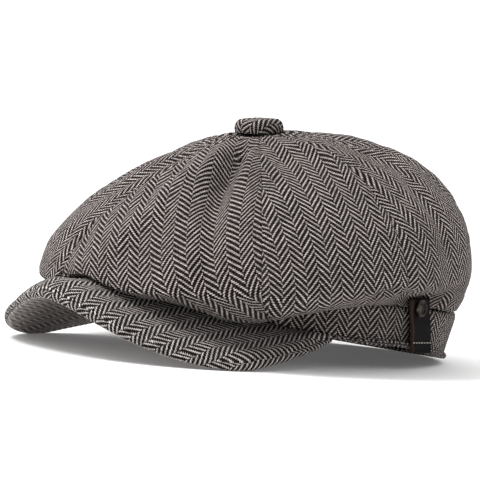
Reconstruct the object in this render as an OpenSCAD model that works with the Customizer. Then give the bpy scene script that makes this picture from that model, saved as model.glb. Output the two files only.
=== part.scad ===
// Newsboy cap: eight crown gores, head band, stiffened visor, covered button and a snap tab.
// The cap stands on the visor's two side lobes and on the back of its hem, with the visor
// towards -Y and the wearer's left towards +X. The origin is under the middle of the cap.

/* [Head opening] */
// Half width of the hem, side to side
hem_half_w = 83; // [78:1:88]
// Half length of the hem, front to back
hem_half_l = 101; // [97:1:105]
// Height that the hem gains per millimetre towards the front
hem_slope = 0.118; // [0.11:0.002:0.126]

/* [Band] */
// Height of the band at the back
band_h = 28; // [24:1:32]
// How far the top of the band leans out at the back
band_flare = 8.5; // [6:0.5:10]
// Thickness of the tweed
cloth_t = 1.5; // [1:0.1:1.8]

/* [Crown] */
// Half width of the crown at its widest
rim_half_w = 115; // [110:1:120]
// Half length of the crown at its widest
rim_half_l = 125.5; // [121:0.5:129]
// How far the crown's widest line is set forward of the head
rim_forward = 24; // [20:1:28]
// Height of the crown's widest line at the sides
rim_z = 48; // [45:1:52]
// How much lower that line is at the front, and higher at the back
rim_tilt = 14; // [10:1:16]
// Height of the crown's top
top_z = 124; // [118:1:130]
// How far the crown's top is set forward of the head
top_forward = 31; // [27:1:35]
// Fullness of the crown's front curve
full_front = 1.42; // [1.3:0.02:1.6]
// Fullness of the crown's back curve
full_back = 2.55; // [2.3:0.05:2.8]
// Depth of the overhang beside the visor
overhang = 16; // [12:1:17]
// Depth of the groove at each crown seam
seam_dip = 2; // [1:0.5:3]
// Place of the front seam, in degrees round from the front to the wearer's left
front_seam = -12; // [-15:1:0]

/* [Visor] */
// How far in front of the head's centre the visor reaches
visor_tip = 173; // [168:1:177]
// Half width of the visor
visor_half_w = 87; // [85:1:89]
// Height of the visor's underside at the front edge
visor_tip_z = 28; // [27:0.5:30]
// Sideways fall of the visor
visor_fall = 0.57; // [0.54:0.01:0.58]
// Upward bulge of the visor between hem and edge
visor_bulge = 2.5; // [1:0.5:3]

/* [Button] */
// Radius of the covered button
button_r = 13.6; // [12:0.2:15]
// Height of the covered button
button_h = 7.6; // [7:0.2:9]

/* [Tab] */
// Width of the leather tab
tab_w = 18.5; // [15:0.5:20]
// Length of the leather tab up the band
tab_l = 29; // [28:0.5:30]
// Thickness of the leather
tab_t = 2; // [1.6:0.1:2.2]
// Place of the tab, in degrees round from the front to the wearer's left
tab_angle = 104; // [100:1:108]
// Radius of the stud's cap
stud_r = 5; // [4.5:0.1:5.5]

/* [Hidden] */

tweed = [0.42, 0.39, 0.38];
satin = [0.13, 0.12, 0.12];
black = [0.09, 0.08, 0.08];
bronze = [0.36, 0.29, 0.2];

// The crown's seams, in degrees round from the front to the wearer's left
side_seams = [52, 93.5, 137];
seams = concat([front_seam], side_seams, [180], [for (k = [2:-1:0]) 360 - side_seams[k]], [360 + front_seam]);
// Start and end angle of each of the eight gores
gore_spans = [for (k = [0:7]) [seams[k], seams[k + 1]]];
seam_gap = 0.3;
// The visor's ridge pushes the crown's front up by visor_push, over push_w degrees
visor_push = 6;
push_w = 10;
rest_gap = 0.6;
rest_bend = 1.2;
lining_gap = 0.5;
lining_t = 0.8;
fine_step = 0.01;

// Hem, band and visor
hem_r = 1.3;
// The hem rises by hem_arch beside the tab, over arch_w degrees
hem_arch = 2.3;
arch_angle = 100;
arch_w = 15;
hold_w = 13;
visor_t = 4.2;
visor_skin = 1.2;
visor_gap = 0.15;
temple = 70;
arch_r = 12;
temple_x = hem_half_w * sin(temple);
temple_y = -hem_half_l * cos(temple);
temple_z = hem_slope * (hem_half_l - temple_y);
visor_rise = (temple_z - visor_tip_z + arch(temple_x)) / (temple_y + visor_tip);
visor_wide_y = -98;
visor_round = 1.8;
lobe_share = 0.72;
edge_gap = 0.3;
edge_step = 0.001;

// The hem's middle is this far forward of the origin, which centres the cap on it
back_y = hem_half_l + band_flare;
front_y = -visor_tip - visor_t / 2;
centre_shift = -(back_y + front_y) / 2;

// Tab, in its own frame: X out of the band, Y along the hem to the back, Z up
tab_tilt = -1.5;
tab_lean = 3;
tab_stand = 2.3;
fold_z = 5.35;
fold_gap = 0.15;
stud_z = 23.5;
stud_pin_r = 1.4;
tab_heading = atan2(-cos(tab_angle) / hem_half_l, sin(tab_angle) / hem_half_w);

function arch(x) = sqrt(arch_r * arch_r + pow(visor_fall * x, 2)) - arch_r;
function visor_z(x, y) = visor_tip_z + visor_rise * (y + visor_tip) - arch(x);
function wrap(a) = a > 180 ? a - 360 : a;
function out_dir(a) = [sin(a), -cos(a), 0];

// A point of the hem line at angle a from the front
function hem_lift(a) = abs(wrap(a)) < temple ? 0 : hem_arch * bell(abs(wrap(a)) - arch_angle, arch_w);
function hem_z(a, x, y) =
    abs(wrap(a)) < temple ? visor_z(x, y) : hem_slope * (hem_half_l - y) + hem_lift(a);
function hem_at(a, x, y) = [x, y, hem_z(a, x, y)];
function hem(a) = hem_at(a, hem_half_w * sin(a), -hem_half_l * cos(a));

// A point of the band at angle a and share v of its height, set in by d
function band_share(a) = 0.5 + 0.5 * abs(sin(a / 2));
function band_top(a) = band_h * band_share(a) - hem_lift(a);
// The leather tab holds the band and the crown in, by this share at angle a
function hold(a) = exp(-pow((wrap(a) - tab_angle + 1) / hold_w, 4));
function band_lean(a) = band_flare * pow((1 - cos(a)) / 2, 3) * (1 - hold(a));
function band_pt(a, v, d) =
    hem(a) + out_dir(a) * (band_lean(a) * v - d) + [0, 0, band_top(a) * v];

// The widest line of the crown, where f runs from -1 to 1 across a gore
function rim_vec(a, f) =
    (1 - seam_dip / rim_half_w * pow(f, 4))
    * [rim_half_w * sin(a), -rim_half_l * cos(a), visor_push * bell(wrap(a), push_w) - rim_tilt * cos(a)];
rim_c = [0, -rim_forward, rim_z];
top_vec = [0, rim_forward - top_forward, top_z - rim_z];

// Upper part of the crown, from its top at t = 0 to its widest line at t = 1
function fullness(a) = full_back + (full_front - full_back) * (1 + cos(a)) / 2;
function dome_rise(u, n) = pow(max(0, 1 - pow(u, n)), 1 / n);
function dome(a, f, t) =
    rim_c + dome_rise(sin(90 * t), fullness(a)) * top_vec + sin(90 * t) * rim_vec(a, f);

// Lower part, from the widest line at s = 0 back under to the band at s = 1
function front_share(a) = min(1, max(0, (80 - abs(wrap(a))) / 50));
function bell(x, w) = exp(-x * x / (w * w));
function sag(a) = overhang * bell(abs(wrap(a)) - 42, abs(wrap(a)) < 42 ? 18 : 29) + 2 * front_share(a);
function held_in(a, s) = 0.97 * hold(a) * min(1, max(0, (s - 0.3) / 0.25));
function under_in(a, s) =
    let (k = front_share(a), u = k * sin(90 * s) + (1 - k) * (1 - cos(90 * s)))
    u + (1 - u) * held_in(a, s);
function under_up(a, s) = let (k = front_share(a)) k * (1 - cos(90 * s)) + (1 - k) * s;
// The front of the crown rests on the visor, rounded off over rest_bend
function lift(rise) = (rise + sqrt(rise * rise + 4 * rest_bend * rest_bend)) / 2;
function above_visor(p) =
    let (floor_z = visor_z(p.x, p.y) + visor_t + visor_bulge + rest_gap)
    p.y < -20 ? [p.x, p.y, floor_z + lift(p.z - floor_z)] : p;
function under_mix(a, s, p, d) =
    [p.x + d.x * under_in(a, s), p.y + d.y * under_in(a, s),
     p.z + d.z * under_up(a, s) - sag(a) * sin(180 * s)];
function under(a, f, s) =
    let (p = rim_c + rim_vec(a, f), q = band_pt(a, 1, 0))
    under_mix(a, s, p, q - p);

function crown_at(a, f, t) = above_visor(t <= 1 ? dome(a, f, t) : under(a, f, t - 1));
function gore_angle(span, f) = (span[0] + span[1]) / 2 + f * (span[1] - span[0]) / 2;
function crown_pt(span, f, t) = crown_at(gore_angle(span, f), f, t);
// The unit vector into the cap at a point of a gore
function inward(span, f, t) =
    let (n = cross(crown_pt(span, f + fine_step, t) - crown_pt(span, f - fine_step, t),
                   crown_pt(span, f, t + fine_step) - crown_pt(span, f, t - fine_step)))
    n / norm(n);
function gore_reach(span, t) = 1 - seam_gap / (norm(crown_pt(span, 1, t) - crown_pt(span, -1, t)) + 1);
function gore_pt(span, f, t, d) =
    let (g = f * gore_reach(span, t))
    crown_pt(span, g, t) + d * inward(span, g, t);

// Outer edge of the visor, where f runs from -1 at the right temple to 1 at the left
function lobe_angle(f) = min(1, abs(f) / lobe_share) * 90;
function lobe_back(f) = max(0, (abs(f) - lobe_share) / (1 - lobe_share));
function edge_x(f) =
    visor_half_w * pow(sin(lobe_angle(f)), 2 / visor_round)
    + (temple_x - visor_half_w) * pow(lobe_back(f), 2);
function edge_y(f) =
    visor_wide_y - (visor_tip + visor_wide_y) * pow(cos(lobe_angle(f)), 2 / visor_round)
    + (temple_y - visor_wide_y) * lobe_back(f);
function edge(f) = [sign(f) * edge_x(f), edge_y(f)];
function edge_normal(f) =
    let (way = edge(f + edge_step) - edge(f - edge_step))
    [way.y, -way.x] / norm(way);
// The visor's layers run from the hem at v = 0 to the edge roll at v = 1
function visor_plan(f, v) =
    let (h = hem(f * temple) + (hem_r + 0.5) * out_dir(f * temple),
         way = edge(f) - [h.x, h.y],
         reach = 1 - (visor_t / 2 + edge_gap) / (way * edge_normal(f)))
    [h.x, h.y] + v * reach * way;
function visor_pt(f, v, lift) =
    let (p = visor_plan(f, v))
    [p.x, p.y, visor_z(p.x, p.y) + visor_bulge * sin(180 * v) + lift];

// Closed solid between two grids of points, each with rows going down the outside
module shell(outer, inner) {
    rows = len(outer);
    cols = len(outer[0]);
    skip = rows * cols;
    points = concat([for (r = outer) for (p = r) p], [for (r = inner) for (p = r) p]);
    function at(i, j) = i * cols + j;
    faces = concat(
        [for (i = [0:rows - 2]) for (j = [0:cols - 2]) for (side = [0, 1]) for (half = [0, 1])
            let (a = at(i, j), b = at(i, j + 1), c = at(i + 1, j + 1), d = at(i + 1, j))
            side == 0 ? (half == 0 ? [a, b, c] : [a, c, d])
                      : (half == 0 ? [skip + a, skip + c, skip + b] : [skip + a, skip + d, skip + c])],
        [for (j = [0:cols - 2]) for (half = [0, 1])
            let (a = at(0, j), b = at(0, j + 1))
            half == 0 ? [b, a, skip + a] : [b, skip + a, skip + b]],
        [for (j = [0:cols - 2]) for (half = [0, 1])
            let (a = at(rows - 1, j), b = at(rows - 1, j + 1))
            half == 0 ? [a, b, skip + b] : [a, skip + b, skip + a]],
        [for (i = [0:rows - 2]) for (half = [0, 1])
            let (a = at(i, 0), d = at(i + 1, 0))
            half == 0 ? [a, d, skip + d] : [a, skip + d, skip + a]],
        [for (i = [0:rows - 2]) for (half = [0, 1])
            let (b = at(i, cols - 1), c = at(i + 1, cols - 1))
            half == 0 ? [c, b, skip + b] : [c, skip + b, skip + c]]
    );
    translate([0, centre_shift, 0]) polyhedron(points, faces);
}

// Round roll of radius r along a list of points; a loop joins its last ring to its first
module roll(path, r, loop, sides = 6) {
    n = len(path);
    function ahead(i) = loop ? path[(i + 1) % n] : path[min(n - 1, i + 1)];
    function behind(i) = loop ? path[(i + n - 1) % n] : path[max(0, i - 1)];
    function side_dir(i) =
        let (d = ahead(i) - behind(i), s = [d.y, -d.x, 0])
        s / norm(s);
    points = [for (i = [0:n - 1]) for (k = [0:sides - 1])
        path[i] + r * (cos(360 * k / sides - 90) * side_dir(i) + sin(360 * k / sides - 90) * [0, 0, 1])];
    function at(i, k) = (i % n) * sides + k % sides;
    walls = [for (i = [0:n - (loop ? 1 : 2)]) for (k = [0:sides - 1]) for (half = [0, 1])
        half == 0 ? [at(i, k), at(i, k + 1), at(i + 1, k + 1)]
                  : [at(i, k), at(i + 1, k + 1), at(i + 1, k)]];
    ends = loop ? [] : [[for (k = [sides - 1:-1:0]) at(0, k)], [for (k = [0:sides - 1]) at(n - 1, k)]];
    translate([0, centre_shift, 0]) polyhedron(points, concat(walls, ends));
}

// Rows of a gore, closer together towards the widest line, then back under
dome_rows = 9;
under_rows = 5;
first_t = 0.025;
gore_rows = concat(
    [for (i = [0:dome_rows]) first_t + (1 - first_t) * (1 - pow(1 - i / dome_rows, 1.5))],
    [for (i = [1:under_rows]) 1 + i / under_rows * 0.97]
);
gore_cols = [-1:0.25:1];

module crown_panel(k) {
    color(tweed)
    shell([for (t = gore_rows) [for (f = gore_cols) gore_pt(gore_spans[k], f, t, 0)]],
          [for (t = gore_rows) [for (f = gore_cols) gore_pt(gore_spans[k], f, t, cloth_t)]]);
}

// The lining covers two gores and lies just inside the tweed
lining_rows = [for (t = gore_rows) if (t < 0.85) t];
lining_end = 0.98;
module lining(k) {
    depth = cloth_t + lining_gap;
    spans = [gore_spans[k], gore_spans[k + 1]];
    cols = concat([for (f = [-lining_end, -0.5, 0, 0.5]) [0, f]],
                  [for (f = [-1, -0.5, 0, 0.5, lining_end]) [1, f]]);
    function at(c, t, d) = gore_pt(spans[c[0]], c[1], t, d);
    color(satin)
    shell([for (t = lining_rows) [for (c = cols) at(c, t, depth)]],
          [for (t = lining_rows) [for (c = cols) at(c, t, depth + lining_t)]]);
}

// A strip that follows the band: angles, height shares, depth and thickness
module band_strip(first, last, steps, low, high, depth, thick) {
    turns = [for (i = [0:steps]) first + (last - first) * i / steps];
    heights = [high, (high + low) / 2, low];
    function at(a, h, d) = band_pt(a, h / band_top(a), d);
    function top(a, h) = min(h, band_top(a) - 0.4);
    shell([for (h = heights) [for (a = turns) at(a, top(a, h), depth)]],
          [for (h = heights) [for (a = turns) at(a, top(a, h), depth + thick)]]);
}

band_low = 2 * hem_r + 0.15;
module band_left() {
    color(tweed) band_strip(0.2, tab_angle - 0.2, 18, band_low, band_h, 0, cloth_t);
}
module band_back() {
    color(tweed) band_strip(tab_angle + 0.2, 360 - tab_angle - 0.2, 24, band_low, band_h, 0, cloth_t);
}
module band_right() {
    color(tweed) band_strip(-tab_angle + 0.2, -0.2, 18, band_low, band_h, 0, cloth_t);
}

// The band's cloth turned in round the hem
module hem_roll() {
    turns = 54;
    color(tweed)
    roll([for (i = [0:turns - 1]) hem(360 * i / turns) + [0, 0, hem_r]], hem_r, true);
}

elastic_depth = cloth_t + 0.2;
sweat_depth = cloth_t + 1.1;
sweat_t = 1;
module sweatband() {
    color(satin) band_strip(-179, 179, 48, band_low, 24, sweat_depth, sweat_t);
}
module back_elastic() {
    color(black) band_strip(150, 210, 10, 7, 19, elastic_depth, 0.7);
}
module size_label() {
    color("white") band_strip(166, 174, 3, 6, 18, sweat_depth + sweat_t + 0.4, 0.5);
}

visor_reach = 0.92;
visor_cols = [for (i = [0:26]) visor_reach * (i / 13 - 1)];
visor_rows = [0:0.25:1];
module visor_layer(low, high) {
    shell([for (v = visor_rows) [for (f = visor_cols) visor_pt(f, v, high)]],
          [for (v = visor_rows) [for (f = visor_cols) visor_pt(f, v, low)]]);
}
module visor_top_cover() {
    color(tweed) visor_layer(visor_t - visor_skin, visor_t);
}
module visor_board() {
    color("dimgray") visor_layer(visor_skin + visor_gap, visor_t - visor_skin - visor_gap);
}
module visor_under_cover() {
    color(tweed) visor_layer(0, visor_skin);
}

// Rolled seam round the visor's outer edge, on which the cap stands
module visor_edge_roll() {
    steps = 46;
    reach = 0.9;
    function at(f) = [edge(f).x, edge(f).y, visor_z(edge(f).x, edge(f).y) + visor_t / 2];
    color(tweed) roll([for (i = [0:steps]) at(reach * (2 * i / steps - 1))], visor_t / 2, false);
}

// Button frame: Z square to the crown's top
module on_top() {
    translate([0, centre_shift - top_forward, top_z]) rotate([atan(rim_tilt / rim_half_l), 0, 0]) children();
}
button_skin = 1;
button_base = 0.6;
shank_r = 1.6;
shank_l = 5.5;
shell_floor = 1.2;
disc_r = 5;
disc_h = 1.2;
function round_top(r, h, bend) =
    concat([[0, h]], [for (a = [90:-15:0]) [r - bend + bend * cos(a), h - bend + bend * sin(a)]]);
module button_cover() {
    color(tweed) on_top() translate([0, 0, button_base])
    rotate_extrude($fn = 48) difference() {
        polygon(concat(round_top(button_r, button_h, 3.2), [[button_r - 1, 0], [0, 0]]));
        polygon(concat(round_top(button_r - button_skin, button_h - button_skin, 2.4),
                       [[button_r - button_skin, 1], [button_r - 4, 1], [button_r - 4, -1], [0, -1]]));
    }
}
module button_shell() {
    color("silver") on_top() translate([0, 0, button_base])
    rotate_extrude($fn = 48)
    polygon(concat(round_top(button_r - button_skin - 0.1, button_h - button_skin - 0.1, 2.3),
                   [[button_r - button_skin - 0.1, shell_floor], [0, shell_floor]]));
}
module button_shank() {
    color("silver") on_top() {
        translate([0, 0, -shank_l])
            cylinder(r = shank_r, h = shank_l + button_base + shell_floor, $fn = 24);
        translate([0, 0, -shank_l - disc_h]) cylinder(r = disc_r, h = disc_h, $fn = 32);
    }
}

// Tab frame, standing at the foot of the band
module on_band() {
    translate(hem(tab_angle) + [0, centre_shift, 0])
    rotate([0, 0, tab_heading])
    rotate([0, tab_tilt, 0])
    rotate([tab_lean, 0, 0])
    children();
}
// A flat piece of leather with round corners at its upper end
module leather(low, high, corner) {
    rotate([90, 0, 90]) linear_extrude(tab_t)
    union() {
        translate([-tab_w / 2, low]) square([tab_w, high - low - corner]);
        translate([-tab_w / 2 + corner, low]) square([tab_w - 2 * corner, high - low]);
        for (side = [-1, 1])
            translate([side * (tab_w / 2 - corner), high - corner]) circle(r = corner, $fn = 32);
    }
}
module leather_tab() {
    color(black) on_band() difference() {
        translate([tab_stand, 0, 0]) leather(fold_z + fold_gap, tab_l, 1);
        translate([0, 0, stud_z]) rotate([0, 90, 0]) cylinder(r = stud_pin_r + 0.05, h = 10, $fn = 32);
    }
}
// The tab's sewn foot, rounded at its lower edge
foot_z = -0.8;
module tab_anchor() {
    color(black) on_band()
    translate([0, tab_w / 2, 0]) rotate([90, 0, 0]) linear_extrude(tab_w) union() {
        translate([tab_stand, foot_z]) square([tab_t, fold_z - fold_gap - foot_z]);
        translate([tab_stand + tab_t / 2, foot_z]) circle(r = tab_t / 2, $fn = 32);
    }
}
stitch_pitch = 2.6;
stitch_l = 1.9;
stitch_r = 0.25;
stitch_z = 4;
module tab_stitching() {
    color("white") on_band()
    for (k = [-3:3])
        translate([tab_stand + tab_t + stitch_r, k * stitch_pitch - stitch_l / 2, stitch_z])
        rotate([-90, 0, 0]) cylinder(r = stitch_r, h = stitch_l, $fn = 16);
}
module on_stud() {
    on_band() translate([0, 0, stud_z]) rotate([0, 90, 0]) children();
}
cap_z = tab_stand + tab_t;
module stud_cap() {
    color(bronze) on_stud() {
        translate([0, 0, cap_z]) rotate_extrude($fn = 48)
        polygon([[0, 0], [stud_r, 0], [stud_r, 0.7], [stud_r - 0.5, 1.3], [stud_r - 1.1, 1.3],
                 [stud_r - 1.5, 0.8], [stud_r / 2, 1.1], [0, 1.2]]);
        translate([0, 0, tab_stand]) cylinder(r = stud_pin_r, h = tab_t, $fn = 32);
    }
}
socket_h = 1;
socket_r = 4.2;
socket_bore_r = 2.2;
socket_bore_h = 0.6;
module stud_socket() {
    color(bronze) on_stud() translate([0, 0, tab_stand - socket_h]) difference() {
        cylinder(r = socket_r, h = socket_h - 0.02, $fn = 48);
        translate([0, 0, -1]) cylinder(r = socket_bore_r, h = 1 + socket_bore_h, $fn = 32);
    }
}
// The post stands on the band, under the socket
post_base = 0.9;
post_foot_r = 2.2;
post_foot_h = 0.4;
post_r = 1.8;
post_h = 0.9;
module stud_post() {
    color(bronze) on_stud() translate([0, 0, post_base]) {
        cylinder(r = post_foot_r, h = post_foot_h, $fn = 48);
        cylinder(r = post_r, h = post_h, $fn = 32);
    }
}

crown_panel(0);  // crown_panel_1
crown_panel(1);  // crown_panel_2
crown_panel(2);  // crown_panel_3
crown_panel(3);  // crown_panel_4
crown_panel(4);  // crown_panel_5
crown_panel(5);  // crown_panel_6
crown_panel(6);  // crown_panel_7
crown_panel(7);  // crown_panel_8
lining(0);  // lining_front_left
lining(2);  // lining_back_left
lining(4);  // lining_back_right
lining(6);  // lining_front_right
band_left();
band_back();
band_right();
hem_roll();
sweatband();
back_elastic();
size_label();
visor_top_cover();
visor_board();
visor_under_cover();
visor_edge_roll();
button_cover();
button_shell();
button_shank();
leather_tab();
tab_anchor();
tab_stitching();
stud_cap();
stud_socket();
stud_post();
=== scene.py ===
import math

import bpy
import bmesh
import numpy as np
from mathutils import Matrix, Vector


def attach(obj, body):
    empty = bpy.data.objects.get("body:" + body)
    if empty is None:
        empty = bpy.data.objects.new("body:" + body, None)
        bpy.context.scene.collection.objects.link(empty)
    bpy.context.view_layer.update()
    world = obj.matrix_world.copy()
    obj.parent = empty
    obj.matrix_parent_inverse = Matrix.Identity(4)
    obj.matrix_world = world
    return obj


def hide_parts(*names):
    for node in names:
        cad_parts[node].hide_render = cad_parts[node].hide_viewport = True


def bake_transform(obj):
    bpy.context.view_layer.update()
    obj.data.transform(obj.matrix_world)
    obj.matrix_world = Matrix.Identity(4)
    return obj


# Looks of the newsboy cap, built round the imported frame. The shape functions work in
# millimetres, with the middle of the hem at x = y = 0, as the CAD source does. make_piece()
# moves the points to the shared frame, but for the tab's, which TAB_FRAME has moved already,
# and turns them into metres.
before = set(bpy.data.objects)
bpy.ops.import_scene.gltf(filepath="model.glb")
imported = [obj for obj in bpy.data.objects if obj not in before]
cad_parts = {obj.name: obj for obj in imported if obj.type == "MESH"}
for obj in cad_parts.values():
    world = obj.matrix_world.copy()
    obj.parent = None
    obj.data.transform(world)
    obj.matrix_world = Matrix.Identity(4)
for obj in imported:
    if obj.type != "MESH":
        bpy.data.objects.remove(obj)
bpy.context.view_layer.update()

MM = 0.001

# Hem, band and cloth
HEM_HALF_W = 83.0
HEM_HALF_L = 101.0
HEM_SLOPE = 0.118
HEM_R = 1.3
HEM_BACK_R = 1.9
HEM_ARCH = 2.3
ARCH_ANGLE = 100.0
ARCH_W = 15.0
HOLD_W = 13.0
BAND_H = 28.0
BAND_FLARE = 8.5
CLOTH_T = 1.5

# Crown
RIM_HALF_W = 115.0
RIM_HALF_L = 125.5
RIM_FORWARD = 24.0
RIM_Z = 48.0
RIM_TILT = 14.0
TOP_Z = 124.0
TOP_FORWARD = 31.0
FULL_FRONT = 1.42
FULL_BACK = 2.55
OVERHANG = 16.0
SEAM_DIP = 2.0
VISOR_PUSH = 6.0
PUSH_W = 10.0
REST_GAP = 0.6
REST_BEND = 1.2
# The crown can touch the visor only in front of this line
REST_Y = -20.0
FRONT_SEAM = -12.0
FRONT_SEAM_BEND = 5.0
SIDE_SEAMS = (52.0, 93.5, 137.0)

# Visor
VISOR_TIP = 173.0
VISOR_HALF_W = 87.0
VISOR_TIP_Z = 28.0
VISOR_FALL = 0.57
VISOR_BULGE = 2.5
VISOR_T = 4.2
VISOR_WIDE_Y = -98.0
VISOR_ROUND = 1.8
LOBE_SHARE = 0.72
# The cloth and its wadding stand up behind the rolled edge, on the upper side
EDGE_PUFF = 5.6
PUFF_AT = 0.89
PUFF_W = 0.15
PUFF_UNEVEN = 0.55
# The edge is thicker on the wearer's right lobe
EDGE_FULL = 1.3
FULL_AT = -0.5
FULL_W = 0.26
ARCH_R = 12.0
TEMPLE = 70.0

# Button
BUTTON_R = 13.6
BUTTON_H = 7.6
BUTTON_BASE = 0.6
BUTTON_BEND = 3.4
# Share of the cloth that lies on the flat top, turn of its rim, sides and gathers
BUTTON_TOP = 0.55
BUTTON_TURN = 118.0
BUTTON_SIDES = 96
BUTTON_GATHERS = 17
BUTTON_CLOTH_T = 0.8

# Leather tab, in its own frame: X out of the band, Y along the hem to the back, Z up
TAB_W = 18.5
TAB_L = 29.0
TAB_T = 2.0
TAB_ANGLE = 104.0
TAB_TILT = -1.5
TAB_LEAN = 3.0
TAB_STAND = 2.3
TAB_FOOT_Z = -1.8
STUD_Z = 23.5
STITCH_Z = 4.0
STITCH_PITCH = 2.6
STITCH_L = 1.9
THREAD_R = 0.3
FOOT_BACK = 3.0
FOOT_WIDER = 0.06
FOOT_SLOPE = 0.1

# Weave: yarns across and along the cloth, and how many make a herringbone column
YARN_ACROSS = 0.84
YARN_ALONG = 1.0
COLUMN_YARNS = 8
# Turn of the weave on each gore, in degrees, and its spread over the visor's arch
GRAIN_TURNS = (20, 0, 0, 0, 0, 0, 0, 0)
VISOR_SPREAD = 0.95
VISOR_DENSE = 1.08


def sind(x):
    return np.sin(np.radians(x))


def cosd(x):
    return np.cos(np.radians(x))


def wrap(a):
    return (np.asarray(a) + 180.0) % 360.0 - 180.0


def vec(x, y, z):
    return np.stack(np.broadcast_arrays(x, y, z), -1).astype(float)


def bell(x, w):
    return np.exp(-((x / w) ** 2))


def unit(v):
    return v / np.maximum(np.linalg.norm(v, axis=-1, keepdims=True), 1e-9)


def arch(x):
    return np.sqrt(ARCH_R**2 + (VISOR_FALL * x) ** 2) - ARCH_R


TEMPLE_X = HEM_HALF_W * sind(TEMPLE)
TEMPLE_Y = -HEM_HALF_L * cosd(TEMPLE)
TEMPLE_Z = HEM_SLOPE * (HEM_HALF_L - TEMPLE_Y)
VISOR_RISE = (TEMPLE_Z - VISOR_TIP_Z + arch(TEMPLE_X)) / (TEMPLE_Y + VISOR_TIP)
CENTRE_SHIFT = (VISOR_TIP + VISOR_T / 2 - HEM_HALF_L - BAND_FLARE) / 2


def visor_z(x, y):
    return VISOR_TIP_Z + VISOR_RISE * (y + VISOR_TIP) - arch(x)


def out_dir(a):
    return vec(sind(a), -cosd(a), 0.0)


def hem_lift(a):
    turn = np.abs(wrap(a))
    return np.where(turn < TEMPLE, 0, HEM_ARCH * bell(turn - ARCH_ANGLE, ARCH_W))


def hem(a):
    """Points of the hem line at angles a, in degrees from the front to the wearer's left."""
    x, y = HEM_HALF_W * sind(a), -HEM_HALF_L * cosd(a)
    back_z = HEM_SLOPE * (HEM_HALF_L - y) + hem_lift(a)
    return vec(x, y, np.where(np.abs(wrap(a)) < TEMPLE, visor_z(x, y), back_z))


def band_top(a):
    return BAND_H * (0.5 + 0.5 * np.abs(sind(np.asarray(a) / 2))) - hem_lift(a)


def hold(a):
    """How far the leather tab holds the band and the crown in."""
    return np.exp(-(((wrap(a) - TAB_ANGLE + 1) / HOLD_W) ** 4))


def band_point(a, height, depth):
    """Points of the band at a height above the hem, set in by depth."""
    lean = BAND_FLARE * ((1 - cosd(a)) / 2) ** 3 * (1 - hold(a)) * height / band_top(a)
    return hem(a) + out_dir(a) * (lean - depth)[..., None] + vec(0, 0, height)


RIM_C = np.array([0.0, -RIM_FORWARD, RIM_Z])
TOP_VEC = np.array([0.0, RIM_FORWARD - TOP_FORWARD, TOP_Z - RIM_Z])


def rim_vec(a):
    z = VISOR_PUSH * bell(wrap(a), PUSH_W) - RIM_TILT * cosd(a)
    return vec(RIM_HALF_W * sind(a), -RIM_HALF_L * cosd(a), z)


def dome(a, t):
    """Upper part of the crown, from its top at t = 0 to its widest line at t = 1."""
    fullness = FULL_BACK + (FULL_FRONT - FULL_BACK) * (1 + cosd(a)) / 2
    u = sind(90 * t)
    h = np.maximum(0, 1 - u**fullness) ** (1 / fullness)
    return RIM_C + h[..., None] * TOP_VEC + u[..., None] * rim_vec(a)


def under(a, s):
    """Lower part, from the widest line at s = 0 back under to the band at s = 1."""
    start = RIM_C + rim_vec(a)
    way = band_point(a, band_top(a), 0 * a) - start
    turn = np.abs(wrap(a))
    front = np.clip((80 - turn) / 50, 0, 1)
    held = 0.97 * hold(a) * np.clip((s - 0.3) / 0.25, 0, 1)
    inward = front * sind(90 * s) + (1 - front) * (1 - cosd(90 * s))
    inward = inward + (1 - inward) * held
    rise = front * (1 - cosd(90 * s)) + (1 - front) * s
    sag = OVERHANG * bell(turn - 42, np.where(turn < 42, 18, 29)) + 2 * front
    drop = vec(0, 0, sag * sind(180 * s))
    return start + way * vec(inward, inward, rise) - drop


def visor_floor(p):
    """Lowest height of the crown over the visor, at each point."""
    return visor_z(p[..., 0], p[..., 1]) + VISOR_T + VISOR_BULGE + REST_GAP


def above_visor(p):
    """The front of the crown rests on the visor."""
    floor_z = visor_floor(p)
    rise = p[..., 2] - floor_z
    lifted = floor_z + (rise + np.sqrt(rise**2 + 4 * REST_BEND**2)) / 2
    return vec(p[..., 0], p[..., 1], np.where(p[..., 1] < REST_Y, lifted, p[..., 2]))


def crown_point(a, t):
    a, t = np.broadcast_arrays(np.asarray(a, float), np.asarray(t, float))
    low = under(a, np.maximum(t - 1, 0))
    return above_visor(np.where((t <= 1)[..., None], dome(a, np.minimum(t, 1)), low))


def seam_angle(k, t):
    """Angle of crown seam k at height t; seam 0 is the front one and seam 4 the back one."""
    front = FRONT_SEAM - FRONT_SEAM_BEND * sind(180 * np.minimum(t, 1))
    sides = [*SIDE_SEAMS, 180.0, *(360 - s for s in reversed(SIDE_SEAMS))]
    return front + (360 if k == 8 else 0) if k in (0, 8) else sides[k - 1] + 0 * t


def soften(grid, passes, first):
    """Smooths a grid down its columns, from row first on, and keeps its last row."""
    for _ in range(passes):
        middle = (grid[first - 1:-2] + 2 * grid[first:-1] + grid[first + 1:]) / 4
        grid[first:-1] = middle
    return grid


def grid_normals(grid, outside):
    """Unit normals of a grid: columns crossed with rows if outside, or else the reverse."""
    normal = unit(np.cross(np.gradient(grid, axis=1), np.gradient(grid, axis=0)))
    return normal if outside else -normal


def arc_lengths(grid, axis):
    """Length along one axis of a grid, from its first line."""
    steps = np.linalg.norm(np.diff(grid, axis=axis), axis=-1)
    start = np.zeros_like(np.take(steps, [0], axis=axis))
    return np.cumsum(np.concatenate([start, steps], axis=axis), axis=axis)


def ripple(points, wavelength, seed):
    """Soft unevenness of about unit size, the same at each run."""
    random = np.random.default_rng(seed)
    total = np.zeros(points.shape[:-1])
    for _ in range(7):
        way = unit(random.normal(size=3)) / (wavelength * random.uniform(0.7, 1.5))
        total += np.sin(2 * np.pi * (points @ way) + random.uniform(0, 2 * np.pi))
    return total / 3.2


# ---------------------------------------------------------------- meshes


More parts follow.
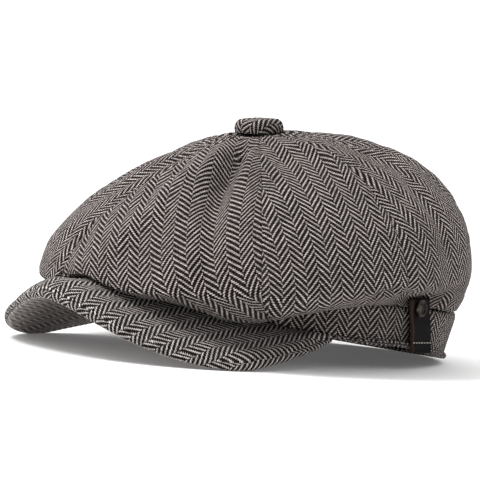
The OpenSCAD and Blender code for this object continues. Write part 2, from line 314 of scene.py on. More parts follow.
def make_piece(name, points, faces, uv, material, body="cap", shift=True):
    """A closed mesh that rides on a body. uv is in millimetres of flat cloth or leather."""
    moved = np.asarray(points, float) + ([0, CENTRE_SHIFT, 0] if shift else 0)
    moved[:, 2] = np.maximum(moved[:, 2], 0)
    mesh = bpy.data.meshes.new(name)
    mesh.from_pydata((moved * MM).tolist(), [], faces)
    layer = mesh.uv_layers.new(name="weave")
    corners = np.zeros(len(mesh.loops), np.int64)
    mesh.loops.foreach_get("vertex_index", corners)
    layer.data.foreach_set("uv", np.asarray(uv, np.float32)[corners].ravel())
    work = bmesh.new()
    work.from_mesh(mesh)
    bmesh.ops.recalc_face_normals(work, faces=work.faces)
    work.to_mesh(mesh)
    work.free()
    mesh.shade_smooth()
    mesh.materials.append(material)
    piece = bpy.data.objects.new(name, mesh)
    bpy.context.scene.collection.objects.link(piece)
    if body:
        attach(piece, body)
    return piece


def grid_faces(rows, cols, first=0, flip=False, loop=False):
    """Quads of a grid whose points start at index first; a loop joins last column to first."""
    faces = []
    for i in range(rows - 1):
        for j in range(cols if loop else cols - 1):
            k = (j + 1) % cols
            quad = [first + i * cols + j, first + i * cols + k,
                    first + (i + 1) * cols + k, first + (i + 1) * cols + j]
            faces.append(quad[::-1] if flip else quad)
    return faces


def cloth(name, outer, inner, uv, material, loop=False):
    """A piece of cloth between two grids of points, closed round its border."""
    rows, cols = outer.shape[:2]
    skip = rows * cols
    faces = grid_faces(rows, cols, 0, False, loop) + grid_faces(rows, cols, skip, True, loop)
    for i in (0, rows - 1):
        for j in range(cols if loop else cols - 1):
            a, b = i * cols + j, i * cols + (j + 1) % cols
            faces.append([a, b, skip + b, skip + a])
    if not loop:
        for j in (0, cols - 1):
            for i in range(rows - 1):
                a, b = i * cols + j, (i + 1) * cols + j
                faces.append([a, b, skip + b, skip + a])
    points = np.concatenate([outer.reshape(-1, 3), inner.reshape(-1, 3)])
    flat = np.tile(uv.reshape(-1, 2), (2, 1))
    return make_piece(name, points, faces, flat, material)


def tube_faces(rows, cols, first=0):
    """Faces of a tube through rings of points, closed at both ends."""
    ends = [[start + j for j in range(cols)] for start in (first, first + (rows - 1) * cols)]
    return grid_faces(rows, cols, first, False, True) + ends


def capped_tube(name, rings, uv, material, **more):
    """A closed piece through a list of rings of points."""
    faces = tube_faces(*rings.shape[:2])
    return make_piece(name, rings.reshape(-1, 3), faces, uv.reshape(-1, 2), material, **more)


# ---------------------------------------------------------------- materials


class Graph:
    """A material's node tree, with a method for each kind of node that the materials use."""

    def __init__(self, name):
        self.material = bpy.data.materials.new(name)
        self.material.use_nodes = True
        self.tree = self.material.node_tree
        self.tree.nodes.clear()
        self.shader = self.add("ShaderNodeBsdfPrincipled")
        output = self.add("ShaderNodeOutputMaterial")
        self.tree.links.new(self.shader.outputs[0], output.inputs[0])

    def add(self, kind, **settings):
        node = self.tree.nodes.new(kind)
        for key, value in settings.items():
            setattr(node, key, value)
        return node

    def feed(self, socket, value):
        if isinstance(value, bpy.types.NodeSocket):
            self.tree.links.new(value, socket)
        else:
            socket.default_value = value

    def result(self, kind, *values, **settings):
        """First output of a new node, whose inputs get the values in order."""
        node = self.add(kind, **settings)
        for socket, value in zip(node.inputs, values):
            self.feed(socket, value)
        return node.outputs[0]

    def math(self, operation, *values):
        return self.result("ShaderNodeMath", *values, operation=operation)

    def plus(self, first, second):
        return self.math("ADD", first, second)

    def minus(self, first, second):
        return self.math("SUBTRACT", first, second)

    def times(self, first, second):
        return self.math("MULTIPLY", first, second)

    def join(self, x, y, z=0.0):
        return self.result("ShaderNodeCombineXYZ", x, y, z)

    def split(self, vector):
        node = self.add("ShaderNodeSeparateXYZ")
        self.feed(node.inputs[0], vector)
        return node.outputs

    def flat(self):
        """Place on the flat cloth, in millimetres."""
        return self.add("ShaderNodeUVMap", uv_map="weave").outputs[0]

    def place(self):
        """Place on the object, in metres."""
        return self.add("ShaderNodeTexCoord").outputs["Object"]

    def texture(self, kind, **inputs):
        node = self.add(kind)
        for key, value in inputs.items():
            self.feed(node.inputs[key], value)
        return node.outputs[0]

    def noise(self, vector, scale, detail=2.0, roughness=0.5):
        return self.texture("ShaderNodeTexNoise", Vector=vector, Scale=scale, Detail=detail,
                            Roughness=roughness)

    def cells(self, vector, scale):
        return self.texture("ShaderNodeTexVoronoi", Vector=vector, Scale=scale)

    def random(self, x, y):
        return self.result("ShaderNodeTexWhiteNoise", self.join(x, y), noise_dimensions="2D")

    def span(self, value, low, high, to_low=0.0, to_high=1.0):
        return self.result("ShaderNodeMapRange", value, low, high, to_low, to_high, clamp=True)

    def mix(self, factor, first, second):
        node = self.add("ShaderNodeMix", data_type="RGBA", clamp_factor=True)
        for index, value in ((0, factor), (6, first), (7, second)):
            value = (*value, 1.0) if isinstance(value, tuple) else value
            self.feed(node.inputs[index], value)
        return node.outputs[2]

    def darken(self, colour, factor):
        """The colour times a number from a node."""
        node = self.add("ShaderNodeMix", data_type="RGBA", blend_type="MULTIPLY")
        self.feed(node.inputs[0], 1.0)
        self.feed(node.inputs[6], colour)
        self.feed(node.inputs[7], self.join(factor, factor, factor))
        return node.outputs[2]

    def bump(self, height, distance, strength=1.0):
        node = self.add("ShaderNodeBump")
        self.feed(node.inputs["Height"], height)
        self.feed(node.inputs["Distance"], distance)
        self.feed(node.inputs["Strength"], strength)
        self.tree.links.new(node.outputs[0], self.shader.inputs["Normal"])

    def finish(self, colour, roughness, **settings):
        self.feed(self.shader.inputs["Base Color"], colour)
        self.feed(self.shader.inputs["Roughness"], roughness)
        for key, value in settings.items():
            self.feed(self.shader.inputs[key.replace("_", " ")], value)
        return self.material


def wrap_four(graph, value):
    """A number brought to -2..2 by whole turns of four yarns."""
    turned = graph.math("FLOORED_MODULO", graph.plus(value, 2.0), 4.0)
    return graph.minus(turned, 2.0)


def float_height(graph, along, across):
    """Height of a yarn's float, with its length along and its width across, in yarns."""
    long_part = graph.math("POWER", graph.math("DIVIDE", along, 1.2), 2.0)
    wide_part = graph.math("POWER", graph.math("DIVIDE", across, 0.43), 2.0)
    return graph.minus(graph.minus(1.0, long_part), wide_part)


def tweed(name, light, dark, share=1.35, edge=0.34, depth=0.00035, haze=0.0):
    """Herringbone wool: a two-and-two twill that turns back every COLUMN_YARNS yarns. share is
    where the light yarn gives way to the dark one, edge how softly, and haze blurs both."""
    graph = Graph(name)
    flat, place = graph.split(graph.flat()), graph.place()
    drift = graph.times(graph.minus(graph.noise(place, 55.0), 0.5), 1.6)
    sway = graph.times(graph.minus(graph.noise(place, 240.0), 0.5), 0.5)
    u = graph.plus(graph.math("DIVIDE", flat[0], YARN_ACROSS), drift)
    v = graph.plus(graph.math("DIVIDE", flat[1], YARN_ALONG), sway)
    column = graph.math("FLOOR", graph.math("DIVIDE", u, float(COLUMN_YARNS)))
    side = graph.math("FLOORED_MODULO", column, 2.0)
    turn = graph.minus(1.0, graph.times(side, 2.0))
    across = graph.minus(u, graph.times(column, float(COLUMN_YARNS)))
    jump = graph.times(side, 2.0)
    shifted = graph.plus(across, jump)
    pick, end = graph.math("FLOOR", v), graph.math("FLOOR", across)
    pick_mid, end_mid = graph.plus(pick, 0.5), graph.plus(end, 0.5)

    weft_off = graph.minus(shifted, graph.times(turn, pick))
    weft = float_height(graph, wrap_four(graph, weft_off), graph.minus(v, pick_mid))
    warp_mid = graph.minus(graph.plus(end_mid, jump), 2.0)
    warp_off = graph.minus(v, graph.times(turn, warp_mid))
    warp_off = wrap_four(graph, graph.minus(warp_off, 0.5))
    warp = float_height(graph, warp_off, graph.minus(across, end_mid))

    over = graph.span(graph.minus(weft, warp), share - edge, share + edge)
    height = graph.math("MAXIMUM", graph.math("MAXIMUM", weft, warp), -0.2)
    fibre = graph.noise(place, 2600.0, 3.0, 0.65)
    patch = graph.noise(place, 38.0, 2.0)
    bead = graph.math("FLOOR", graph.math("DIVIDE", graph.plus(weft_off, 2.0), 4.0))
    bead = graph.plus(graph.times(bead, 37.0), column)
    weft_tone = graph.plus(graph.random(pick, bead), graph.times(fibre, 0.7))
    warp_tone = graph.random(end, column)
    faded = tuple(c * 0.42 for c in light)
    raised = tuple(d + (c - d) * 0.05 for c, d in zip(light, dark))
    light_yarn = graph.mix(graph.span(weft_tone, 0.15, 1.25), faded, light)
    dark_yarn = graph.mix(graph.times(warp_tone, fibre), dark, raised)
    colour = graph.mix(over, dark_yarn, light_yarn)
    # Painted shade: the colour is darkened where a yarn sinks below the floats beside it, and random
    # patches of tone vary it further.
    shade = graph.span(height, -0.2, 0.8, 0.25, 1.0)
    shade = graph.times(shade, graph.span(patch, 0.3, 0.7, 0.9, 1.08))
    colour = graph.darken(colour, shade)
    if haze:
        middle = tuple((c + d) / 2 * 0.8 for c, d in zip(light, dark))
        colour = graph.mix(haze, colour, middle)
    graph.bump(graph.plus(height, graph.times(fibre, 0.5)), depth)
    return graph.finish(colour, 0.95, Sheen_Weight=0.03, Sheen_Roughness=0.4,
                        Specular_IOR_Level=0.06)


def satin(name, colour, rib=0.35, rough=0.45):
    """Smooth lining or ribbon with fine ribs across it."""
    graph = Graph(name)
    flat, place = graph.split(graph.flat()), graph.place()
    rib_wave = graph.math("SINE", graph.times(flat[1], 2 * math.pi / rib))
    thread_wave = graph.math("SINE", graph.times(flat[0], 2 * math.pi / 0.22))
    cloud = graph.noise(place, 90.0, 3.0)
    weave = graph.plus(graph.times(rib_wave, 0.5), thread_wave)
    tone = graph.span(cloud, 0.3, 0.7, 0.8, 1.2)
    graph.bump(weave, 0.00004)
    # Painted shade and highlight: the colour is darker in the grooves of the ribs and threads and
    # lighter on their crests; the cloud varies the tone at random.
    base = graph.darken(graph.mix(graph.span(weave, -1.5, 1.5), tuple(c * 0.8 for c in colour),
                                  tuple(c * 1.2 for c in colour)), tone)
    return graph.finish(base, graph.span(cloud, 0.2, 0.8, rough - 0.07, rough + 0.1),
                        Sheen_Weight=0.2, Specular_IOR_Level=0.45)


def ribbed(name, colour, pitch, depth):
    """Grosgrain, elastic or card: ribs of one pitch along the object's height."""
    graph = Graph(name)
    place = graph.place()
    parts = graph.split(place)
    wave = graph.math("SINE", graph.times(parts[2], 2 * math.pi / pitch))
    grain = graph.noise(place, 1500.0, 3.0)
    # Painted shade: the colour is darker in the grooves between the ribs and lighter on their crests;
    # the grain varies the tone at random.
    tone = graph.plus(graph.times(wave, 0.15), graph.span(grain, 0.2, 0.8, 0.75, 1.15))
    graph.bump(graph.plus(wave, grain), depth)
    base = graph.darken(graph.mix(grain, colour, tuple(c * 1.15 for c in colour)), tone)
    return graph.finish(base, graph.span(grain, 0.2, 0.8, 0.75, 0.95), Specular_IOR_Level=0.3)


def leather(name, colour, worn, rough):
    """Leather with pebbled grain, creases and worn high spots."""
    graph = Graph(name)
    place = graph.place()
    pebble = graph.cells(place, 1900.0)
    fine = graph.noise(place, 4200.0, 3.0, 0.6)
    cloud = graph.noise(place, 150.0, 4.0, 0.6)
    height = graph.plus(pebble, graph.times(fine, 0.5))
    wear = graph.span(cloud, 0.52, 0.75)
    base = graph.mix(graph.times(wear, fine), colour, worn)
    graph.bump(height, 0.00012, 0.7)
    uneven = graph.plus(graph.span(cloud, 0.3, 0.7, -0.08, 0.1), rough)
    return graph.finish(base, uneven, Specular_IOR_Level=0.03)


def raw_edge(name, colour, pale):
    """Cut edge of leather: packed fibres in layers."""
    graph = Graph(name)
    place = graph.place()
    fibre = graph.noise(place, 3500.0, 4.0, 0.7)
    cloud = graph.noise(place, 500.0, 2.0)
    graph.bump(graph.plus(fibre, cloud), 0.0002)
    tone = graph.times(graph.span(fibre, 0.3, 0.7), graph.span(cloud, 0.2, 0.8, 0.5, 1.0))
    return graph.finish(graph.mix(tone, colour, pale), 0.9, Specular_IOR_Level=0.08)


def metal(name, bright, dull, rough=0.35):
    """Plated metal, darker and rougher where the finish has aged."""
    graph = Graph(name)
    place = graph.place()
    stain = graph.noise(place, 420.0, 5.0, 0.65)
    scratch = graph.noise(place, 2600.0, 2.0)
    patina = graph.span(stain, 0.32, 0.52)
    graph.bump(graph.plus(stain, graph.times(scratch, 0.4)), 0.00006)
    roughness = graph.plus(graph.times(patina, 0.22), rough)
    return graph.finish(graph.mix(patina, bright, dull), roughness, Metallic=1.0)


def thread(name, colour):
    """Twisted sewing thread, with its twist across the flat length."""
    graph = Graph(name)
    flat = graph.split(graph.flat())
    twist = graph.plus(graph.times(flat[1], 9.0), graph.times(flat[0], 5.0))
    wave = graph.math("SINE", twist)
    fibre = graph.noise(graph.place(), 6000.0, 2.0)
    graph.bump(wave, 0.00005)
    # Painted shade: the colour is darker in the grooves of the twist and lighter on its crests.
    tone = graph.plus(graph.span(wave, -1.0, 1.0, 0.72, 0.95), graph.times(fibre, 0.1))
    return graph.finish(graph.darken(graph.mix(fibre, colour, tuple(c * 0.9 for c in colour)), tone),
                        0.8, Sheen_Weight=0.2)


TWEED = tweed("tweed_herringbone", (0.86, 0.76, 0.73), (0.008, 0.0052, 0.005))
# A lighter copy of the same tweed, with more of the light yarn showing: painted light for the brighter
# light on the visor.
TWEED_VISOR_PAINTED_LIGHT = tweed("tweed_visor_painted_light", (0.94, 0.865, 0.835), (0.008, 0.0052, 0.005), share=1.15)
# A much lighter copy of the same tweed for the visor's underside: painted fill light in the shade under
# the visor, with the haze mixing in a flat middle tone.
TWEED_UNDER_PAINTED_FILL = tweed("tweed_underside_painted_fill", (0.96, 0.88, 0.85), (0.13, 0.11, 0.106), share=0.55, edge=0.55,
                    depth=0.0003, haze=0.14)
LINING = satin("lining_satin", (0.022, 0.020, 0.021))
SWEATBAND = satin("sweatband_cotton", (0.020, 0.019, 0.019), rib=0.9, rough=0.8)
LABEL = satin("label_woven", (0.62, 0.60, 0.56), rib=0.5, rough=0.7)
ELASTIC = ribbed("elastic_ribs", (0.03, 0.03, 0.03), 0.0009, 0.0002)
BOARD = ribbed("board_fibre", (0.16, 0.15, 0.14), 0.004, 0.00008)
LEATHER = leather("leather_black", (0.0035, 0.0028, 0.0028), (0.012, 0.009, 0.008), rough=0.5)
LEATHER_EDGE = raw_edge("leather_cut_edge", (0.018, 0.011, 0.009), (0.085, 0.05, 0.042))
BRONZE = metal("stud_bronze", (0.16, 0.13, 0.105), (0.026, 0.022, 0.018))
STEEL = metal("button_steel", (0.58, 0.58, 0.58), (0.4, 0.39, 0.38))
THREAD = thread("thread_ecru", (0.78, 0.74, 0.69))


# ---------------------------------------------------------------- crown

# Folds that run over the crown: points (angle, t, height), and the fold's half width. A
# height below zero is a valley.
FOLDS = (
    (((33, 0.1, -5.5), (32, 0.2, -9.0), (32, 0.3, -8.4), (33, 0.4, -6.2), (35, 0.52, -4.6),
      (38, 0.72, -3.4), (36, 0.88, -2.2), (32, 1.05, -0.6)), 5.8),
    (((20, 0.1, 1.4), (19, 0.22, 4.2), (20, 0.34, 3.6), (21, 0.5, 1.8), (23, 0.64, 0.6)), 5.5),
    (((-16, 1.14, 1.0), (-8, 1.14, 3.6), (4, 1.14, 5.0), (14, 1.16, 4.0), (26, 1.16, 1.6)), 8.0),
    (((44, 0.12, 1.2), (44, 0.25, 1.8), (45, 0.4, 1.0)), 5.0),
    (((4, 0.1, 0.6), (10, 0.2, 1.4), (10, 0.33, 2.6), (11, 0.5, 2.6), (8, 0.62, 2.2), (5, 0.72, 1.2),
      (3, 0.85, 0.4)), 6.5),
    (((-2, 0.2, -1.2), (0, 0.35, -2.6), (0, 0.5, -2.4), (-4, 0.65, -1.4)), 5.5),
    (((16, 0.62, -0.8), (20, 0.76, -1.6), (22, 0.9, -1.0)), 6.0),
    (((72, 0.14, 1.0), (84, 0.22, 2.2), (92, 0.33, 2.4), (94, 0.42, 1.0)), 5.5),
    (((80, 0.3, -0.8), (84, 0.45, -1.6), (86, 0.62, -0.8)), 5.5),
    (((130, 0.14, -1.6), (125, 0.3, -3.6), (121, 0.46, -3.8), (113, 0.6, -3.2), (112, 0.82, -2.6),
      (113, 1.0, -1.6), (116, 1.2, -0.6)), 7.5),
    (((92, 0.96, -0.8), (88, 1.08, -1.8), (84, 1.22, -2.0), (80, 1.42, -1.4), (74, 1.6, -0.4)), 4.0),
    (((62, 0.12, -1.4), (64, 0.26, -1.8), (66, 0.4, -0.8)), 6.0),
    (((152, 0.12, -1.6), (156, 0.3, -2.2), (158, 0.5, -1.0)), 7.0),
    (((160, 0.85, 1.2), (164, 1.0, 1.8), (168, 1.2, 0.8)), 9.0),
    (((200, 0.12, -1.4), (203, 0.28, -2.6), (206, 0.5, -1.2)), 7.0),
    (((208, 0.9, -1.0), (210, 1.05, -1.6), (212, 1.3, -0.6)), 8.0),
    (((244, 0.12, -1.4), (240, 0.3, -2.2), (238, 0.48, -0.8)), 7.0),
    (((285, 0.12, -1.6), (288, 0.28, -3.0), (290, 0.5, -1.8), (289, 0.7, -0.6)), 7.5),
    (((268, 0.98, -0.8), (272, 1.1, -1.8), (277, 1.25, -2.0), (282, 1.45, -1.2)), 4.5),
    (((326, 0.12, -3.0), (327, 0.26, -3.8), (326, 0.42, -2.8), (324, 0.6, -1.4), (325, 0.8, -0.8)), 7.5),
    (((-52, 0.45, 1.6), (-42, 0.6, 3.4), (-36, 0.74, 3.4), (-30, 0.88, 1.4)), 26.0),
)

DOME_ROWS = 74
UNDER_ROWS = 34
GORE_COLS = 60
TOP_T = 0.03
# Depths and heights on each gore, in millimetres, and how far the welt is from its seam
SEAM_GROOVE = 0.5
WELT = 0.5
WELT_AT = 6.5
PUCKER = 0.28
GATHER = 0.5
JOIN_DIP = 1.5
TUCK = 0.45
GORE_GAP = 0.03


def crown_rows():
    high = 1 - (1 - TOP_T) * (1 - np.linspace(0, 1, DOME_ROWS)) ** 1.25
    return np.concatenate([high, 1 + np.linspace(0, 1, UNDER_ROWS + 1)[1:]])


def crown_surface(a, t, passes, share):
    """Crown surface, smoothed from a share of its dome's rows on, and its outward normals."""
    base = soften(crown_point(a, t), passes, int(DOME_ROWS * share))
    return base, grid_normals(base, False)


def fold_heights(points):
    """How far the folds push each point of the crown out."""
    total = np.zeros(points.shape[:-1])
    for knots, width in FOLDS:
        knots = np.array(knots, float)
        steps = np.linspace(0, len(knots) - 1, 12 * len(knots))
        a, t, height = (np.interp(steps, np.arange(len(knots)), knots[:, i]) for i in range(3))
        line = crown_point(a, t)
        fade = np.minimum(1, np.minimum(steps, len(knots) - 1 - steps) / 0.8)
        near = np.linalg.norm(points[..., None, :] - line, axis=-1)
        best = near.argmin(-1)
        distance = np.take_along_axis(near, best[..., None], -1)[..., 0]
        total += (height * fade)[best] * bell(distance, width)
    return total


def rest_on_visor(p, gap):
    """Keeps points of the crown's front this far above the visor."""
    z = np.where(p[..., 1] < REST_Y, np.maximum(p[..., 2], visor_floor(p) + gap), p[..., 2])
    return vec(p[..., 0], p[..., 1], z)


def soft_heights(points):
    return 0.95 * ripple(points, 60, 3) + 0.34 * ripple(points, 17, 4)


def gore_grids(k):
    """Outer and inner points of gore k, and its flat coordinates."""
    t = crown_rows()[:, None]
    spread = np.linspace(-1, 1, GORE_COLS + 1)
    f = 0.55 * np.sin(spread * np.pi / 2) + 0.45 * spread
    step = f[1] - f[0]
    f = np.concatenate([[-1 - step], f, [1 + step]])[None, :]
    low, high = seam_angle(k, t), seam_angle(k + 1, t)
    a = (low + high) / 2 + f * (high - low) / 2
    base, normal = crown_surface(a, t + 0 * f, 10, 0.72)
    a, base, normal, f = a[:, 1:-1], base[:, 1:-1], normal[:, 1:-1], f[:, 1:-1]
    across = arc_lengths(base, 1)
    centre = across[:, GORE_COLS // 2, None]
    along = arc_lengths(base[:, GORE_COLS // 2, None], 0) + 0 * across
    c, s = cosd(GRAIN_TURNS[k]), sind(GRAIN_TURNS[k])
    u = across - centre
    uv = np.stack([u * c - along * s, u * s + along * c], -1)
    from_seam = np.minimum(across, across[:, -1:] - across)
    from_band = along[-1:] - along
    away = np.clip(along / 30, 0, 1)
    groove = -SEAM_DIP * f**4 * sind(90 * np.minimum(t, 1)) * np.clip((1.8 - t) / 0.4, 0, 1)
    groove = groove - SEAM_GROOVE * np.exp(-from_seam / 1.1) * np.clip(from_band / 8, 0, 1)
    welt = WELT * bell(from_seam - WELT_AT, 2.4) * away
    pucker_wave = np.sin(along * 0.75 + 2 * ripple(base, 30, 40 + k))
    pucker = PUCKER * np.exp(-from_seam / 5) * pucker_wave * away
    gather = GATHER * np.exp(-along / 16) * np.sin(5 * np.pi * f + k) * np.clip(along / 6, 0, 1)
    join = -JOIN_DIP * np.exp(-from_band / 1.3)
    tuck_wave = np.sin(across * 0.55 + 1.7 * k) * np.clip(from_seam / 8, 0, 1)
    tucks = TUCK * np.exp(-from_band / 9) * tuck_wave
    free = away * (1 - hold(a) * np.clip((t - 1) / 0.2, 0, 1))
    lift = groove + welt + pucker + gather + join + (tucks + soft_heights(base)) * free
    lift = lift + fold_heights(base)
    outer = base + normal * lift[..., None]
    gap = GORE_GAP * unit(outer[:, -1:] - outer[:, :1])
    outer[:, 0] += gap[:, 0]
    outer[:, -1] -= gap[:, 0]
    inner = outer - normal * CLOTH_T
    return rest_on_visor(outer, 0.2), rest_on_visor(inner, 1.0), uv


def build_crown():
    for k in range(8):
        outer, inner, uv = gore_grids(k)
        name = f"crown_gore_{k + 1}"
        piece = cloth(name, outer, inner, uv, TWEED)
        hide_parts(f"crown_panel_{k + 1}")


# ---------------------------------------------------------------- lining


LINING_COLS = 71
LINING_MARGIN = 0.001
LINING_INSET = 1.2
LINING_T = 0.5


def build_lining():
    """Four satin panels, each behind two gores, loosely gathered."""
    names = ("front_left", "back_left", "back_right", "front_right")
    t = crown_rows()[::2][:-3, None]
    for number, name in enumerate(names):
        low, high = seam_angle(2 * number, t), seam_angle(2 * number + 2, t)
        f = np.linspace(LINING_MARGIN, 1 - LINING_MARGIN, LINING_COLS)[None, :]
        base, normal = crown_surface(low + f * (high - low), t + 0 * f, 6, 0.36)
        across = arc_lengths(base, 1)
        middle = LINING_COLS // 2
        along = arc_lengths(base[:, middle, None], 0) + 0 * across
        slack = 0.9 + 0.35 * ripple(base, 26, 60 + number) + 0.3 * np.sin(across * 0.35)
        valleys = np.minimum(0, fold_heights(base)) + np.minimum(0, soft_heights(base))
        depth = CLOTH_T + LINING_INSET + (slack - valleys) * np.clip(along / 20, 0, 1)
        outer = base - normal * depth[..., None]
        inner = outer - normal * LINING_T
        uv = np.stack([across - across[:, middle, None], along], -1)
        piece = cloth(f"lining_panel_{name}", outer, inner, uv, LINING)
        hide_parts(f"lining_{name}")


# ---------------------------------------------------------------- band, hem and sweatband


STRIP_ROWS = 15
BAND_GAP = 0.2
BAND_DIPS = (1.3, 0.9)
HEM_SIDES = 14


def strip_grids(first, last, low, high, depth, thick, dips, seed):
    """Outer and inner points of a strip that follows the band between two heights above the
    hem, and its flat coordinates. dips says how far its top and its foot are drawn in."""
    a = np.linspace(first, last, int(last - first) + 2)[None, :]
    top = np.minimum(high, band_top(a))
    share = np.linspace(0, 1, STRIP_ROWS)[:, None]
    height = top + (low - top) * share
    base = band_point(a + 0 * share, height, 0 * height)
    along = arc_lengths(base[-1:], 1) + 0 * share
    out = out_dir(a + 0 * share)
    wave = 0.22 * ripple(base, 24, seed) + 0.1 * ripple(base, 8, seed + 1)
    from_top = height.max(0, keepdims=True) - height
    from_foot = height - height.min(0, keepdims=True)
    dip = dips[0] * np.exp(-from_top / 1.4) + dips[1] * np.exp(-from_foot / 1.2)
    outer = base + out * (wave - depth - dip)[..., None]
    return outer, outer - out * thick, np.stack([along, height], -1)


def build_band():
    spans = {"left": (BAND_GAP, TAB_ANGLE - BAND_GAP),
             "back": (TAB_ANGLE + BAND_GAP, 360 - BAND_GAP - TAB_ANGLE),
             "right": (BAND_GAP - TAB_ANGLE, -BAND_GAP)}
    for number, (side, (first, last)) in enumerate(spans.items()):
        outer, inner, uv = strip_grids(first, last, low=HEM_R, high=BAND_H, depth=0.1,
                                       thick=CLOTH_T, dips=BAND_DIPS, seed=20 + 2 * number)
        piece = cloth(f"band_cloth_{side}", outer, inner, uv, TWEED)
        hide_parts(f"band_{side}")


def build_hem():
    """The cloth turned in round the hem, as a closed ring."""
    a = np.arange(360.0)
    foot, out = hem(a), out_dir(a)
    behind = np.clip((np.abs(wrap(a)) - TEMPLE - 4) / 12, 0, 1)
    radii = HEM_R + (HEM_BACK_R - HEM_R) * behind
    radii = radii * (1 + 0.05 * np.clip(ripple(foot, 11, 31), -1, 1))
    path = foot + vec(0, 0, radii)
    turns = (np.arange(HEM_SIDES) * 360.0 / HEM_SIDES)[None, :, None]
    way = cosd(turns) * out[:, None] + sind(turns) * np.array([0, 0, 1.0])
    rings = path[:, None] + radii[:, None, None] * way
    rows, cols = rings.shape[:2]
    along = arc_lengths(path[:, None], 0)
    around = np.arange(cols) * 2 * np.pi * HEM_R / cols
    uv = np.stack([along + 0 * rings[..., 0], around + 0 * along], -1)
    faces = grid_faces(rows, cols, 0, False, True)
    faces += [[(rows - 1) * cols + j, (rows - 1) * cols + (j + 1) % cols, (j + 1) % cols, j]
              for j in range(cols)]
    piece = make_piece("hem_turned_cloth", rings.reshape(-1, 3), faces, uv.reshape(-1, 2), TWEED)
    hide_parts("hem_roll")


def build_sweatband():
    outer, inner, uv = strip_grids(-179, 179, low=2.75, high=24, depth=CLOTH_T + 1.1,
                                   thick=0.9, dips=(0.2, 0.2), seed=50)
    piece = cloth("sweatband_ribbon", outer, inner, uv, SWEATBAND)
    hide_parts("sweatband")
    outer, inner, uv = strip_grids(166, 174, low=6, high=18, depth=CLOTH_T + 2.5,
                                   thick=0.4, dips=(0.0, 0.0), seed=52)
    piece = cloth("size_label_cloth", outer, inner, uv, LABEL)
    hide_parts("size_label")


# ---------------------------------------------------------------- visor


def edge_point(f):
    """Outer edge of the visor in plan, where f runs from -1 at the right temple to 1."""
    turn = np.minimum(1, np.abs(f) / LOBE_SHARE) * 90
    back = np.maximum(0, (np.abs(f) - LOBE_SHARE) / (1 - LOBE_SHARE))
    x = VISOR_HALF_W * sind(turn) ** (2 / VISOR_ROUND) + (TEMPLE_X - VISOR_HALF_W) * back**2
    y = (VISOR_WIDE_Y - (VISOR_TIP + VISOR_WIDE_Y) * cosd(turn) ** (2 / VISOR_ROUND)
         + (TEMPLE_Y - VISOR_WIDE_Y) * back)
    return np.stack([np.sign(f) * x, y], -1)


VISOR_COLS = 141
VISOR_ROWS = 30
EDGE_SEAM = -48.0
EDGE_TURNS = 10
VISOR_END = 0.985
VISOR_CLOTH_T = 1.0
UNDER_CLOTH_T = 0.9


def visor_profile(f, sweep, lower):
    """Points of the visor's cloth at columns f: over the flat part, then round the edge
    through the angles in sweep. lower picks the underside."""
    hem_out = hem(f * TEMPLE) + out_dir(f * TEMPLE) * (HEM_R - 0.3)
    edge = edge_point(f)
    way = unit(np.gradient(edge, axis=0))
    outward = np.stack([way[:, 1], -way[:, 0]], -1)
    taper = 1 - 0.55 * np.clip((np.abs(f) - 0.86) / 0.14, 0, 1) ** 2
    full = EDGE_FULL * bell(f - FULL_AT, FULL_W)
    half = VISOR_T / 2 * taper * (1 + full)
    v = 1 - (1 - np.linspace(0, 1, VISOR_ROWS)) ** 1.35
    thick = VISOR_T * taper * (1 + full * v[:, None] ** 2)
    plan = hem_out[None, :, :2] + v[:, None, None] * (edge - hem_out[:, :2])[None]
    level = visor_z(plan[..., 0], plan[..., 1]) + VISOR_BULGE * sind(180 * v)[:, None] * taper
    puff = EDGE_PUFF * bell(v - PUFF_AT, PUFF_W) * sind(180 * np.minimum(v, 1)) ** 0.2
    puff = puff[:, None] * np.clip((0.95 - np.abs(f)) / 0.25, 0, 1)
    puff = puff * (1 - PUFF_UNEVEN * np.clip(f / 0.3, 0, 1))
    flat = vec(plan[..., 0], plan[..., 1], level + (0 if lower else thick + puff))
    centre_z = visor_z(edge[:, 0], edge[:, 1]) + half
    turns = np.asarray(sweep)[:, None]
    out = half * cosd(turns)
    roll = vec(edge[:, 0] + out * outward[:, 0], edge[:, 1] + out * outward[:, 1],
               centre_z + half * sind(turns))
    return np.concatenate([flat, roll]), outward


def visor_flat(points, outward):
    """Flat coordinates of the visor's cloth: across the arch, and from the hem forward."""
    spread = np.linspace(-100, 100, 401)
    arc = np.concatenate([[0], np.cumsum(np.hypot(np.diff(spread), np.diff(arch(spread))))])
    arc = arc - np.interp(0, spread, arc)
    edge = points[VISOR_ROWS - 1]
    rolled = arc_lengths(points[VISOR_ROWS - 1:], 0)
    u = np.interp(points[..., 0], spread, arc)
    v = points[..., 1] * math.hypot(1, VISOR_RISE)
    u[VISOR_ROWS - 1:] = np.interp(edge[:, 0], spread, arc) + rolled * outward[:, 0]
    v[VISOR_ROWS - 1:] = edge[:, 1] * math.hypot(1, VISOR_RISE) + rolled * outward[:, 1]
    return np.stack([u, v], -1)


